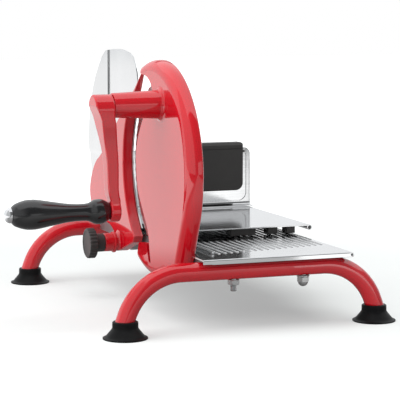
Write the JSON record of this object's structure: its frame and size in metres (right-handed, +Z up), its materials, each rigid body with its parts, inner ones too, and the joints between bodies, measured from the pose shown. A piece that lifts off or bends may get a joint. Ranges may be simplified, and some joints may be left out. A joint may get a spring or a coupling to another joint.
{
  "type": "hand crank meat slicer",
  "caption": "Hand crank slicer with a round blade in a ring housing, a sliding food carriage, an adjustable stop plate and a bent tube frame on suction feet.",
  "frame": {"origin": "on the floor, under the centre of the whole object box with the crank hanging down", "axes": "+X from the crank to the food side along the blade axle, +Y from the closed side of the ring to the side where food is put on, +Z up"},
  "size_m": [0.3508, 0.36, 0.2457],
  "materials": {
    "red_paint": "gloss",
    "black_rubber": "matt",
    "polished_steel": "polished",
    "blade_steel": "ground",
    "zinc_steel": "zinc plated",
    "cast_aluminium": "as cast",
    "bronze": "turned",
    "nylon": "satin",
    "chrome": "polished",
    "gloss_plastic": "gloss",
    "black_plastic": "fine grain"
  },
  "bodies": {
    "frame": {"front_tube": "red_paint", "rear_tube": "red_paint", "blade_housing": "red_paint", "foot_front_left": "black_rubber", "foot_front_right": "black_rubber", "foot_rear_left": "black_rubber", "foot_rear_right": "black_rubber", "base_plate": "polished_steel", "slide_rail": "polished_steel", "stud_washer_front": "zinc_steel", "stud_washer_rear": "zinc_steel", "plate_spacer_front": "zinc_steel", "plate_spacer_rear": "zinc_steel", "hex_nut_front": "zinc_steel", "hex_nut_rear": "zinc_steel", "cap_nut_front": "zinc_steel", "cap_nut_rear": "zinc_steel", "housing_screw_1": "zinc_steel", "housing_screw_2": "zinc_steel", "housing_screw_3": "zinc_steel", "gear_lid": "zinc_steel", "lid_screw_1": "zinc_steel", "lid_screw_2": "zinc_steel", "lid_screw_3": "zinc_steel", "idler_pin": "zinc_steel", "blade_axle": "zinc_steel", "guide_spindle": "zinc_steel", "base_beam": "cast_aluminium", "blade_bush": "bronze", "crank_bush_inner": "bronze", "crank_bush_outer": "bronze"},
    "crank": {"crank_shaft": "zinc_steel", "crank_gear": "nylon", "crank_arm": "red_paint", "crank_set_screw": "zinc_steel", "handle_bolt": "chrome"},
    "idler": {"idler_gear": "nylon"},
    "blade": {"blade_hub": "zinc_steel", "blade": "blade_steel", "blade_screw": "polished_steel"},
    "grip": {"handle_grip": "gloss_plastic"},
    "stop_plate": {"plate_carrier": "red_paint", "sleeve_bush": "bronze", "stop_plate": "polished_steel", "stop_plate_screw_1": "polished_steel", "stop_plate_screw_2": "polished_steel", "guide_pin": "zinc_steel"},
    "knob": {"slice_knob": "black_plastic", "knob_insert": "bronze"},
    "carriage": {"carriage_plate": "polished_steel", "left_runner": "black_plastic", "front_glide": "black_plastic", "middle_glide": "black_plastic", "right_glide": "black_plastic", "rear_glide": "black_plastic", "back_wall": "polished_steel", "wall_strip": "black_plastic", "wall_stop_pin": "black_plastic"},
    "pusher": {"food_pusher": "black_plastic"}
  },
  "joints": [
    {"name": "crank_spin", "type": "hinge", "parent": "frame", "child": "crank", "pos_m": [-0.07555, -0.085, 0.2], "axis": [1, 0, 0], "continuous": true},
    {"name": "idler_spin", "type": "hinge", "parent": "frame", "child": "idler", "pos_m": [-0.02255, -0.07767, 0.16322], "axis": [1, 0, 0], "continuous": true},
    {"name": "blade_spin", "type": "hinge", "parent": "frame", "child": "blade", "pos_m": [-0.01555, -0.057, 0.1375], "axis": [1, 0, 0], "continuous": true},
    {"name": "grip_spin", "type": "hinge", "parent": "crank", "child": "grip", "pos_m": [-0.11555, -0.085, 0.1036], "axis": [1, 0, 0], "continuous": true},
    {"name": "stop_plate_slide", "type": "slide", "parent": "frame", "child": "stop_plate", "axis": [-1, 0, 0], "range_m": [0, 0.015]},
    {"name": "knob_turn", "type": "hinge", "parent": "stop_plate", "child": "knob", "pos_m": [-0.05355, 0.05, 0.0547], "axis": [1, 0, 0], "range_deg": [0, 1080]},
    {"name": "carriage_slide", "type": "slide", "parent": "frame", "child": "carriage", "axis": [0, -1, 0], "range_m": [-0.045, 0.12]},
    {"name": "pusher_slide", "type": "slide", "parent": "carriage", "child": "pusher", "axis": [-1, 0, 0], "range_m": [0, 0.055]}
  ],
  "couplings": [
    {"joint": "idler_spin", "follows": "crank_spin", "ratio": -0.78571},
    {"joint": "blade_spin", "follows": "crank_spin", "ratio": 1.375},
    {"joint": "knob_turn", "follows": "stop_plate_slide", "rad_per_m": 1256.6}
  ]
}
